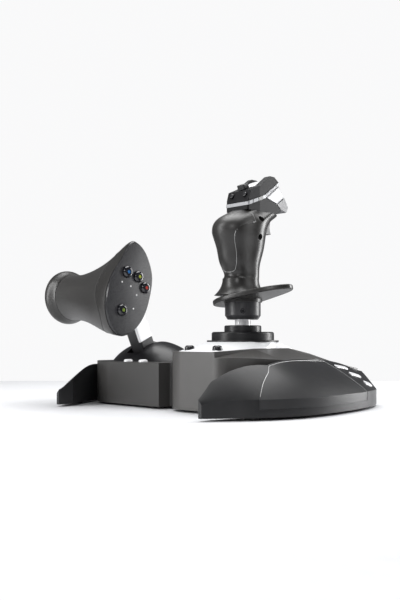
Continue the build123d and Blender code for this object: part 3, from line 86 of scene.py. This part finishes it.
def ramp(tree, source, stops):
    """The colour of a ramp driven by source; stops are (position, colour)."""
    made = node(tree, "ShaderNodeValToRGB")
    band = made.color_ramp
    while len(band.elements) < len(stops):
        band.elements.new(0.5)
    for element, (place, colour) in zip(band.elements, stops):
        element.position = place
        element.color = (*colour, 1)
    tree.links.new(source, made.inputs["Fac"])
    return made.outputs["Color"]


def finish(name, colour, rough, metal=0.0, spread=0.12, grain=1800.0, depth=0.05, coat=0.0,
           wear=0.25, bevel=0.35, brushed=None, sheen=0.0, specular=0.5):
    """A moulded or metal finish: colour drift, fine grain, lighter worn edges and soft corners."""
    made = bpy.data.materials.new(name)
    made.use_nodes = True
    tree = made.node_tree
    shader = tree.nodes["Principled BSDF"]
    shader.inputs["Metallic"].default_value = metal
    shader.inputs["Coat Weight"].default_value = coat
    shader.inputs["Coat Roughness"].default_value = COAT_ROUGHNESS
    shader.inputs["Sheen Weight"].default_value = sheen
    shader.inputs["Specular IOR Level"].default_value = specular
    place = node(tree, "ShaderNodeTexCoord").outputs["Object"]
    if brushed:
        stretch = node(tree, "ShaderNodeMapping")
        stretch.inputs["Scale"].default_value = brushed
        tree.links.new(place, stretch.inputs["Vector"])
        fine_place = stretch.outputs["Vector"]
    else:
        fine_place = place
    broad = node(tree, "ShaderNodeTexNoise")
    broad.inputs["Scale"].default_value = DRIFT_SCALE
    broad.inputs["Detail"].default_value = 4
    tree.links.new(place, broad.inputs["Vector"])
    dark = tuple(c * (1 - spread) for c in colour)
    light = tuple(min(1, c * (1 + spread)) for c in colour)
    tint = ramp(tree, broad.outputs["Fac"], ((0.3, dark), (0.7, light)))
    edge = node(tree, "ShaderNodeNewGeometry")
    worn = node(tree, "ShaderNodeMapRange")
    worn.inputs["From Min"].default_value = WORN_FROM
    worn.inputs["From Max"].default_value = WORN_TO
    worn.inputs["To Max"].default_value = wear
    tree.links.new(edge.outputs["Pointiness"], worn.inputs["Value"])
    mix = node(tree, "ShaderNodeMix", data_type="RGBA")
    mix.inputs["B"].default_value = (*(min(1, c * 1.6 + 0.02) for c in colour), 1)
    tree.links.new(worn.outputs["Result"], mix.inputs["Factor"])
    tree.links.new(tint, mix.inputs["A"])
    tree.links.new(mix.outputs["Result"], shader.inputs["Base Color"])
    fine = node(tree, "ShaderNodeTexNoise")
    fine.inputs["Scale"].default_value = grain
    fine.inputs["Detail"].default_value = 3
    tree.links.new(fine_place, fine.inputs["Vector"])
    gloss = node(tree, "ShaderNodeMapRange")
    gloss.inputs["From Min"].default_value = 0.3
    gloss.inputs["From Max"].default_value = 0.7
    gloss.inputs["To Min"].default_value = max(0.02, rough - 0.05)
    gloss.inputs["To Max"].default_value = rough + 0.06
    tree.links.new(fine.outputs["Fac"], gloss.inputs["Value"])
    tree.links.new(gloss.outputs["Result"], shader.inputs["Roughness"])
    bump = node(tree, "ShaderNodeBump")
    bump.inputs["Strength"].default_value = depth
    bump.inputs["Distance"].default_value = BUMP_DISTANCE
    tree.links.new(fine.outputs["Fac"], bump.inputs["Height"])
    if bevel:
        corner = node(tree, "ShaderNodeBevel", samples=4)
        corner.inputs["Radius"].default_value = bevel * MM
        tree.links.new(corner.outputs["Normal"], bump.inputs["Normal"])
    tree.links.new(bump.outputs["Normal"], shader.inputs["Normal"])
    return made


def painted_spots(material, spots):
    """Plain round printed marks on a finish; each is (centre, radius, colour) in object space."""
    tree = material.node_tree
    shader = tree.nodes["Principled BSDF"]
    place = node(tree, "ShaderNodeTexCoord").outputs["Object"]
    for centre, radius, colour in spots:
        base = shader.inputs["Base Color"].links[0].from_socket
        away = node(tree, "ShaderNodeVectorMath", operation="DISTANCE")
        away.inputs[1].default_value = centre
        tree.links.new(place, away.inputs[0])
        inside = node(tree, "ShaderNodeMapRange")
        inside.inputs["From Min"].default_value = radius * SPOT_FADE[0]
        inside.inputs["From Max"].default_value = radius * SPOT_FADE[1]
        tree.links.new(away.outputs["Value"], inside.inputs["Value"])
        mix = node(tree, "ShaderNodeMix", data_type="RGBA")
        mix.inputs["B"].default_value = (*colour, 1)
        tree.links.new(inside.outputs["Result"], mix.inputs["Factor"])
        tree.links.new(base, mix.inputs["A"])
        tree.links.new(mix.outputs["Result"], shader.inputs["Base Color"])


FINISHES = {
    "black_plastic": finish(
        "satin_black", (0.011, 0.011, 0.012),
        0.36, wear=0.5, spread=0.2, depth=0.06, specular=0.35,
    ),
    "grey_plastic": finish(
        "warm_grey", (0.022, 0.021, 0.02),
        0.33, spread=0.1, depth=0.05, specular=0.45,
    ),
    "silver_plastic": finish(
        "silver_paint", (0.88, 0.885, 0.9),
        0.34, metal=0.1, spread=0.04, grain=5200, depth=0.03,
    ),
    "light_trim": finish(
        "satin_silver", (0.6, 0.61, 0.63),
        0.32, metal=0.3, spread=0.06, grain=4200, depth=0.03,
    ),
    "gloss_black": finish(
        "gloss_black", (0.009, 0.009, 0.011),
        0.24, spread=0.2, depth=0.02, coat=0.15, wear=0.3,
    ),
    "soft_rubber": finish(
        "soft_rubber", (0.026, 0.025, 0.024),
        0.4, spread=0.12, grain=2600, depth=0.1, specular=0.45,
    ),
    "foot_rubber": finish(
        "foot_rubber", (0.012, 0.012, 0.012),
        0.7, spread=0.2, grain=1500, depth=0.2,
    ),
    "steel": finish(
        "zinc_steel", (0.5, 0.5, 0.51),
        0.3, metal=1.0, spread=0.08, grain=900, depth=0.05, brushed=(1, 1, 14),
    ),
    "board_green": finish(
        "solder_mask", (0.012, 0.09, 0.035),
        0.35, spread=0.25, grain=600, depth=0.2,
    ),
    "inner_black": finish(
        "inner_black", (0.018, 0.018, 0.019),
        0.55, spread=0.15, grain=1200, depth=0.12,
    ),
    "white_button": finish(
        "gloss_white", (0.82, 0.82, 0.83),
        0.14, spread=0.03, depth=0.01, coat=0.5, wear=0.0,
    ),
}

# pieces with a finish of their own, in place of their slot's finish
SHADES = {
    "head_nose": finish(
        "nose_grey", (0.11, 0.11, 0.115),
        0.36, spread=0.06, depth=0.04,
    ),
    "head_top_panel": finish(
        "head_top_black", (0.007, 0.007, 0.008),
        0.5, spread=0.15, depth=0.04, specular=0.1,
    ),
    "head_rim": finish(
        "rim_silver", (0.3, 0.305, 0.32),
        0.36, spread=0.06, grain=4200, depth=0.03,
    ),
    "joystick_housing": finish(
        "base_grey", (0.06, 0.058, 0.056),
        0.36, spread=0.08, depth=0.05, specular=0.4,
    ),
    "throttle_housing": finish(
        "throttle_grey", (0.03, 0.029, 0.028),
        0.36, spread=0.08, depth=0.05, specular=0.35,
    ),
    "wing_panels": finish(
        "panel_grey", (0.016, 0.016, 0.017),
        0.33, spread=0.1, depth=0.06, specular=0.35,
    ),
    "throttle_dome": finish(
        "dome_black", (0.008, 0.008, 0.009),
        0.34, spread=0.15, depth=0.03, specular=0.35,
    ),
    "head_housing": finish(
        "head_black", (0.008, 0.008, 0.009),
        0.5, spread=0.15, depth=0.04, specular=0.1,
    ),
    "wing_gills": finish(
        "gill_silver", (0.6, 0.6, 0.61),
        0.35, metal=0.1, spread=0.06, depth=0.05,
    ),
    "right_wing": finish(
        "wing_black", (0.009, 0.009, 0.01),
        0.34, spread=0.15, depth=0.05, specular=0.3, wear=0.6,
    ),
    "grip_collar": finish(
        "collar_grey", (0.028, 0.028, 0.03),
        0.35, spread=0.08, depth=0.04, specular=0.4,
    ),
}

# the face buttons: glossy black with a coloured dot on the outer face
BUTTON_HUES = {
    "blue_button": (0.05, 0.3, 0.8),
    "yellow_button": (0.65, 0.75, 0.08),
    "red_button": (0.85, 0.08, 0.06),
    "green_button": (0.45, 0.65, 0.12),
}

for row in frame["record"]["subparts"]:
    part = frame["nodes"][row["node"]]
    chosen = SHADES.get(row["node"]) or FINISHES.get(row["material_slot"])
    if chosen is None:
        low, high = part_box(row["node"])
        middle = (low + high) / 2
        centre = Vector((high.x, middle.y, middle.z))
        hue = BUTTON_HUES[row["material_slot"]]
        chosen = finish(
            f"{row['node']}_gloss", (0.012, 0.012, 0.016),
            0.12, spread=0.1, depth=0.01, coat=0.6, wear=0.1,
        )
        painted_spots(chosen, [(centre, DOT_RADIUS * MM, tuple(DOT_SHADE * c for c in hue))])
    for spot in part.material_slots:
        spot.material = chosen
    if not part.material_slots:
        part.data.materials.append(chosen)

# white marks on the throttle's face: (y, z) from the middle of the button, in mm
MARK_PLACES = {
    "face_button_1": (-6.4, -10.5),
    "face_button_2": (-9.7, -10.2),
    "face_button_3": (-11.3, -8.0),
    "face_button_4": (15.3, 1.8),
}
face_marks = finish(
    "face_gloss", (0.016, 0.016, 0.018),
    0.28, spread=0.15, depth=0.03, coat=0.2, wear=0.9,
)
face_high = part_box("throttle_face")[1]
marks = []
for name, (dy, dz) in MARK_PLACES.items():
    low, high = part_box(name)
    middle = (low + high) / 2
    spot = Vector((face_high.x, middle.y + dy * MM, middle.z + dz * MM))
    marks.append((spot, MARK_RADIUS * MM, MARK_WHITE))
painted_spots(face_marks, marks)
for spot in frame["nodes"]["throttle_face"].material_slots:
    spot.material = face_marks

# ---------------------------------------------------------------- seams, trim and small details
SEAM_DARK = finish(
    "seam_shadow", (0.004, 0.004, 0.004),
    0.6, spread=0.2, depth=0.02, wear=0, bevel=0,
)
# light seam colour: a painted highlight, where panel edges and ridges catch the light
SEAM_HIGHLIGHT = finish(
    "painted_highlight_seam", (0.3, 0.3, 0.3),
    0.3, metal=0.3, spread=0.08, depth=0.02, wear=0, bevel=0,
)


def put(name, mesh, material, body, smooth=True):
    """An object made from a mesh, riding on a body."""
    mesh.materials.append(material)
    if smooth:
        mesh.shade_smooth()
    else:
        mesh.shade_flat()
    made = bpy.data.objects.new(name, mesh)
    bpy.context.collection.objects.link(made)
    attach(made, body)
    return made


def sharp_chains(name, keep):
    """Chains of points along a CAD node's sharp edges, where keep(midpoint) says so."""
    work = bmesh.new()
    work.from_mesh(frame["nodes"][name].data)
    bmesh.ops.remove_doubles(work, verts=work.verts, dist=2e-6)
    links = {}
    for edge in work.edges:
        if len(edge.link_faces) != 2 or edge.calc_face_angle() < math.radians(SHARP_ANGLE):
            continue
        a, b = edge.verts
        if keep((a.co + b.co) / 2):
            links.setdefault(a.index, set()).add(b.index)
            links.setdefault(b.index, set()).add(a.index)
    work.verts.ensure_lookup_table()
    points = {i: work.verts[i].co.copy() for i in links}
    work.free()
    chains = []
    ends = sorted(links, key=lambda i: (len(links[i]) == 2, i))
    for start in ends:
        while links.get(start):
            chain = [start]
            here = start
            while links[here]:
                after = min(links[here])
                links[here].discard(after)
                links[after].discard(here)
                chain.append(after)
                here = after
            chains.append([points[i] for i in chain])
    return chains


def seam(name, cad_node, body, radius, material, keep=lambda middle: True):
    """A fine line round the edge of a fitted panel, coloured dark as a painted shadow in the seam
    or light as a painted highlight on the edge; the radius is in mm.
    """
    curve = bpy.data.curves.new(name, "CURVE")
    curve.dimensions = "3D"
    curve.bevel_depth = radius * MM
    curve.bevel_resolution = 1
    for chain in sharp_chains(cad_node, keep):
        line = curve.splines.new("POLY")
        line.points.add(len(chain) - 1)
        for point, place in zip(line.points, chain):
            point.co = (*place, 1)
    holder = bpy.data.objects.new(name + "_line", curve)
    bpy.context.collection.objects.link(holder)
    graph = bpy.context.evaluated_depsgraph_get()
    mesh = bpy.data.meshes.new_from_object(holder.evaluated_get(graph))
    bpy.data.objects.remove(holder)
    return put(name, mesh, material, body)


# the inlay's edge and the wing panels' ridge get light lines as painted highlights
seam("inlay_seam_highlight", "palm_inlay", "grip", 0.3, SEAM_HIGHLIGHT)
seam("sleeve_seam", "throttle_sleeve", "throttle", 0.28, SEAM_DARK)
seam("panel_seam_highlight", "wing_panels", "base", 0.32, SEAM_HIGHLIGHT,
     lambda middle: middle.z > PANEL_HIGHLIGHT_SEAM_Z * MM)

# (y, half width of the head), with y from the stick's axis towards the head's nose, in mm
HEAD_PLAN = ((-12, 12), (-8, 15.6), (8, 16.8), (40, 15.0), (66, 10.2))


def on_line(y, line):
    """The value at y on a line of (y, value) points; it stays at the last value beyond them."""
    for (ya, va), (yb, vb) in zip(line, line[1:]):
        if y <= yb:
            return va + (vb - va) * (y - ya) / (yb - ya)
    return line[-1][1]


def head_point(side, x, y, z):
    """A point at side * x from the stick's upright plane; x, y and z are in mm."""
    return STICK.x + side * x * MM, STICK.y + y * MM, z * MM


def surface_object(name, work, material, smooth=True):
    """Ends a bmesh: its mesh becomes an object on the grip."""
    mesh = bpy.data.meshes.new(name)
    work.to_mesh(mesh)
    work.free()
    return put(name, mesh, material, "grip", smooth)


def side_plates(name, outlines, inner, outer, material, bevel):
    """Thin plates on both sides of the head; each outline is a list of (y, z) in mm.

    inner and outer are the plate's two faces, measured from the head's side.
    """
    work = bmesh.new()
    for outline in outlines:
        for side in (1, -1):
            rows = []
            for offset in (inner, outer):
                rows.append([
                    work.verts.new(head_point(side, on_line(y, HEAD_PLAN) + offset, y, z))
                    for y, z in outline
                ])
            count = len(outline)
            work.faces.new(rows[1])
            work.faces.new(list(reversed(rows[0])))
            for i in range(count):
                j = (i + 1) % count
                work.faces.new((rows[0][i], rows[0][j], rows[1][j], rows[1][i]))
    bmesh.ops.recalc_face_normals(work, faces=work.faces)
    bmesh.ops.bevel(
        work, geom=list(work.edges), offset=bevel * MM,
        segments=2, affect="EDGES", profile=0.6,
    )
    return surface_object(name, work, material, smooth=False)


WHITE_PANEL = finish(
    "head_white", (0.62, 0.62, 0.635),
    0.3, spread=0.04, depth=0.02, wear=0,
)
DARK_TRIM = finish(
    "dark_trim", (0.012, 0.012, 0.013),
    0.3, spread=0.15, depth=0.04, wear=0.4,
)

# white side panels: a fine grid over four corners, bent to the head's tapering side
PANEL_CORNERS = ((19.5, 214.6), (41.0, 229.4), (53.2, 220.6), (38.0, 211.6))
PANEL_LONG, PANEL_SHORT = 16, 8     # faces along and across each panel
PANEL_INSET = 0.45                  # its middle surface, inwards from the head's side, in mm
PANEL_THICK = 0.6                   # in mm
work = bmesh.new()
for side in (1, -1):
    grid = []
    for i in range(PANEL_LONG + 1):
        s_part = i / PANEL_LONG
        line = []
        for k in range(PANEL_SHORT + 1):
            t_part = k / PANEL_SHORT
            weights = (
                (1 - s_part) * (1 - t_part),
                s_part * (1 - t_part),
                s_part * t_part,
                (1 - s_part) * t_part,
            )
            y = sum(w * corner[0] for w, corner in zip(weights, PANEL_CORNERS))
            z = sum(w * corner[1] for w, corner in zip(weights, PANEL_CORNERS))
            x = on_line(y, HEAD_PLAN) - PANEL_INSET
            line.append(work.verts.new(head_point(side, x, y, z)))
        grid.append(line)
    for a, b in zip(grid, grid[1:]):
        for k in range(PANEL_SHORT):
            face = (a[k], a[k + 1], b[k + 1], b[k])
            work.faces.new(face if side < 0 else tuple(reversed(face)))
panels = surface_object("head_side_panels", work, WHITE_PANEL)
thick = panels.modifiers.new("thickness", "SOLIDIFY")
thick.thickness = PANEL_THICK * MM
thick.offset = 0

# the silver rim's lower and upper edge, as (y, z) in mm
RIM_UNDER = ((-9, 203.5), (17, 214), (41, 231))
RIM_OVER = ((-9.4, 206.9), (17, 217.4), (41.8, 234.6))
RIB_COUNT, RIB_START, RIB_PITCH, RIB_WIDTH = 9, 17.5, 2.4, 0.9
RIB_MARGIN = 0.3                            # a rib ends this far inside the rim's edges
JOINT_SPANS = ((-3.0, 0.6), (5.0, 7.5))     # (start, width) of the dark joints across the rim
JOINT_REACH = 0.2                           # a joint reaches this far over the rim's edges


def rim_band(y, width, over):
    """The outline across the rim from y to y + width, reaching over its edges."""
    end = y + width
    return [
        (y, on_line(y, RIM_UNDER) - over),
        (end, on_line(end, RIM_UNDER) - over),
        (end, on_line(end, RIM_OVER) + over),
        (y, on_line(y, RIM_OVER) + over),
    ]


ribs = [
    rim_band(RIB_START + step * RIB_PITCH, RIB_WIDTH, -RIB_MARGIN)
    for step in range(RIB_COUNT)
]
side_plates("rim_ribs", ribs, -0.4, 0.15, DARK_TRIM, bevel=0.12)
joints = [rim_band(y, width, JOINT_REACH) for y, width in JOINT_SPANS]
side_plates("rim_joints", joints, -0.4, 0.25, DARK_TRIM, bevel=0.15)

# light liner of the trough between the two rails: a dished strip that climbs the sloping top
LINER_START = (12.6, 223.9)         # (y, z) of its lower end, in mm
LINER_RISE = (19.8, 11.4)           # from there to its upper end
LINER_HALF = 8.2                    # half width
LINER_LONG, LINER_ACROSS = 12, 8    # faces along and across
LINER_THICK = 0.4
TOP_NORMAL = (-0.5, 0.86)           # (y, z) of the direction that points out of the top
work = bmesh.new()
rows = []
for i in range(LINER_LONG + 1):
    t = i / LINER_LONG
    y, z = (start + t * rise for start, rise in zip(LINER_START, LINER_RISE))
    row = []
    for k in range(LINER_ACROSS + 1):
        u = k / (LINER_ACROSS / 2) - 1
        dish = 2.6 * (u * u) * math.sin(math.pi * (0.15 + 0.7 * t))
        lift = 0.4 + dish + 0.9 * (1 - t)
        row.append(work.verts.new(head_point(
            u, LINER_HALF, y + TOP_NORMAL[0] * lift, z + TOP_NORMAL[1] * lift,
        )))
    rows.append(row)
for a, b in zip(rows, rows[1:]):
    for k in range(LINER_ACROSS):
        work.faces.new((a[k], a[k + 1], b[k + 1], b[k]))
bmesh.ops.recalc_face_normals(work, faces=work.faces)
liner = surface_object("head_trough_liner", work, WHITE_PANEL)
liner.modifiers.new("body", "SOLIDIFY").thickness = LINER_THICK * MM

# ---------------------------------------------------------------- floor, light and camera
CAMERA_TURN = math.radians(40)
ahead = Vector((-math.sin(CAMERA_TURN), math.cos(CAMERA_TURN), 0))
across = Vector((math.cos(CAMERA_TURN), math.sin(CAMERA_TURN), 0))
eye = Vector((496.5, -532.2, 68.5)) * MM
# the floor, in metres from the camera's foot: its near and far edge, and its half width;
# the far edge is the horizon line seen behind the object
near, far, wide = -0.6, 1.146, 3.2
floor_mesh = bpy.data.meshes.new("floor")
ground = eye.copy()
ground.z = 0
corners = [
    ground + ahead * near - across * wide,
    ground + ahead * near + across * wide,
    ground + ahead * far + across * wide,
    ground + ahead * far - across * wide,
]
floor_mesh.from_pydata(corners, [], [(0, 1, 2, 3)])
floor = bpy.data.objects.new("floor", floor_mesh)
bpy.context.collection.objects.link(floor)
floor_paint = finish(
    "floor_paint", (0.74, 0.745, 0.76),
    0.45, spread=0.01, grain=120, depth=0.01, wear=0, bevel=0,
)
floor_mesh.materials.append(floor_paint)
floor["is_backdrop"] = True

# the world is near white to the camera and a dim fill to every other ray
world = bpy.data.worlds.new("studio")
bpy.context.scene.world = world
world.use_nodes = True
sky = world.node_tree
fill = sky.nodes["Background"]
fill.inputs["Color"].default_value = (0.9, 0.92, 0.96, 1)
fill.inputs["Strength"].default_value = 0.12
seen = node(sky, "ShaderNodeBackground")
seen.inputs["Color"].default_value = (0.95, 0.95, 0.955, 1)
ray = node(sky, "ShaderNodeLightPath")
both = node(sky, "ShaderNodeMixShader")
sky.links.new(ray.outputs["Is Camera Ray"], both.inputs["Fac"])
sky.links.new(fill.outputs["Background"], both.inputs[1])
sky.links.new(seen.outputs["Background"], both.inputs[2])
sky.links.new(both.outputs["Shader"], sky.nodes["World Output"].inputs["Surface"])

AIM = STICK + Vector((0, 0, 0.1))
UP = Vector((0, 0, 1))


def lamp(name, offset, size, power):
    """A rectangular white lamp at an offset from the aim, pointing at it; metres and watts."""
    light = bpy.data.lights.new(name, "AREA")
    light.shape = "RECTANGLE"
    light.size, light.size_y = size
    light.energy = power
    place = AIM + offset
    made = bpy.data.objects.new(name, light)
    made.location = place
    made.rotation_mode = "QUATERNION"
    made.rotation_quaternion = (AIM - place).to_track_quat("-Z", "Y")
    bpy.context.collection.objects.link(made)
    made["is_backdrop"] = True


bpy.context.scene.view_settings.view_transform = "Standard"
lamp("top", Vector((-0.05, 0.12, 0.9)), (1.0, 0.8), 15)
lamp("left_strip", UP * 0.3 - across * 0.75 - ahead * 0.25, (0.2, 0.9), 6)
lamp("right_strip", UP * 0.15 + across * 0.85 + ahead * 0.3, (0.3, 0.7), 10)
lamp("front_fill", UP * 0.5 - ahead * 1.3 - across * 0.2, (0.35, 0.35), 4)

camera_data = bpy.data.cameras.new("camera")
camera_data.lens = 41.16
camera_data.sensor_width = 36
camera_data.shift_x = -0.0715
camera_data.shift_y = 0.0667
camera_data.clip_start = 0.01
camera_data.clip_end = 50
camera = bpy.data.objects.new("camera", camera_data)
camera.location = eye
camera.rotation_euler = (math.radians(90), 0, CAMERA_TURN)
bpy.context.collection.objects.link(camera)
bpy.context.scene.camera = camera

low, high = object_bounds()
